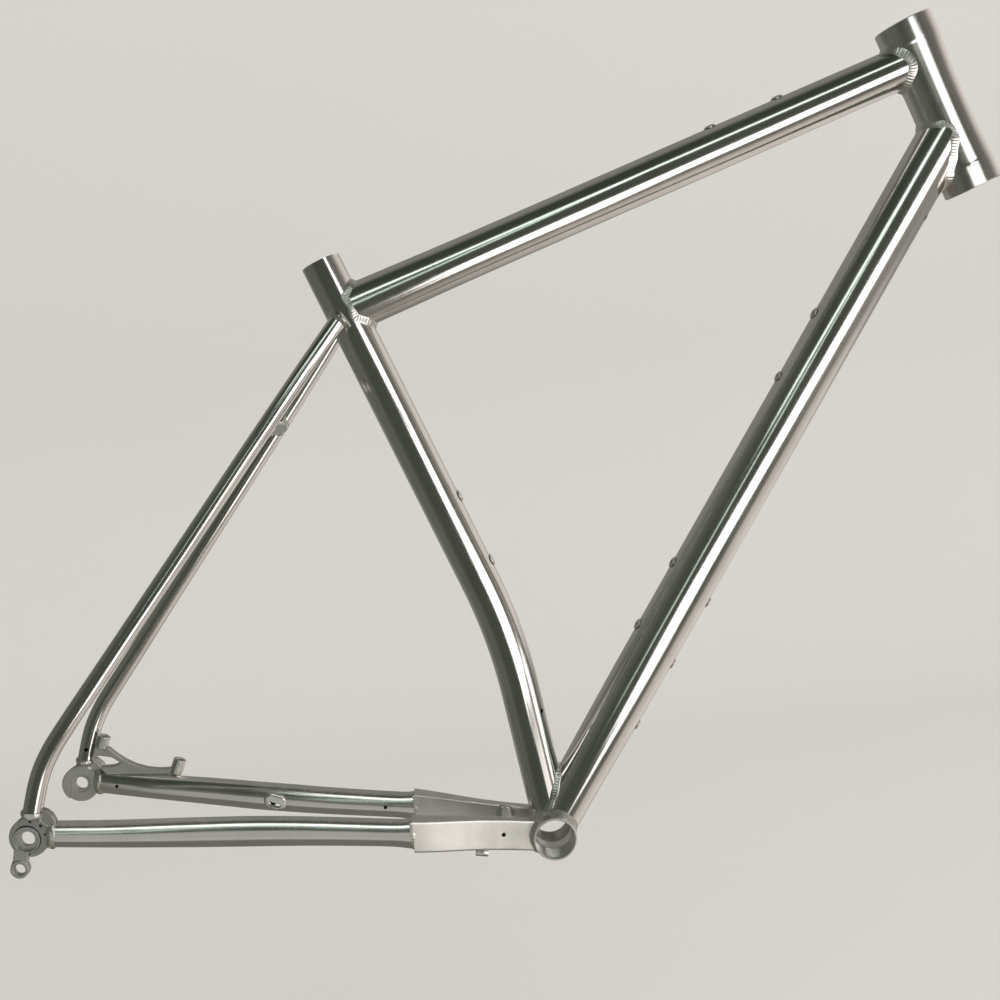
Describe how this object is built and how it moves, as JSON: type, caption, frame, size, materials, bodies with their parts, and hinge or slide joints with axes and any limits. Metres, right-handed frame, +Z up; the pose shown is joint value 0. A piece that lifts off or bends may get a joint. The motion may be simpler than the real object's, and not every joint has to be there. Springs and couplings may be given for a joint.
{
  "type": "bicycle frame",
  "caption": "Bare disc-brake bicycle frame welded from round metal tubes: sloping top tube, curved seat tube, hooded axle dropouts and threaded bosses; carries fork, wheel and cranks.",
  "frame": {"origin": "centre of the bottom bracket shell, on the crank axis", "axes": "+X the riding direction, +Y the rider's left along the crank axis, +Z up when the wheels stand on level ground"},
  "size_m": [0.9109, 0.1668, 0.7077],
  "materials": {
    "main_tube": "semi-polished titanium tube, fine lengthwise brushing",
    "head_tube": "semi-polished titanium, turned",
    "shell": "faced and threaded titanium, bright rim",
    "stay": "semi-polished titanium tube, fine brushing",
    "yoke": "satin machined titanium",
    "dropout": "matte machined titanium",
    "hanger": "dark satin aluminium",
    "brake_mount": "matte machined titanium",
    "boss": "turned titanium boss",
    "guide": "polished small titanium piece"
  },
  "bodies": {
    "root": {"seat_tube": "main_tube", "down_tube": "main_tube", "top_tube": "main_tube", "head_tube": "head_tube", "bottom_bracket_shell": "shell", "right_chainstay": "stay", "left_chainstay": "stay", "right_seatstay": "stay", "left_seatstay": "stay", "seatstay_bridge": "stay", "chainstay_bridge": "stay", "right_chainstay_yoke": "yoke", "left_chainstay_yoke": "yoke", "right_dropout": "dropout", "left_dropout": "dropout", "derailleur_hanger": "hanger", "brake_mount_bracket": "brake_mount", "rear_brake_post": "brake_mount", "front_brake_post": "brake_mount", "bottle_boss_down_tube_lower_1": "boss", "bottle_boss_down_tube_lower_2": "boss", "bottle_boss_down_tube_lower_3": "boss", "bottle_boss_down_tube_upper_1": "boss", "bottle_boss_down_tube_upper_2": "boss", "bottle_boss_down_tube_upper_3": "boss", "bottle_boss_down_tube_upper_4": "boss", "bottle_boss_seat_tube_1": "boss", "bottle_boss_seat_tube_2": "boss", "top_tube_boss_1": "boss", "top_tube_boss_2": "boss", "hose_port": "guide", "cable_guide": "guide"}
  },
  "joints": []
}
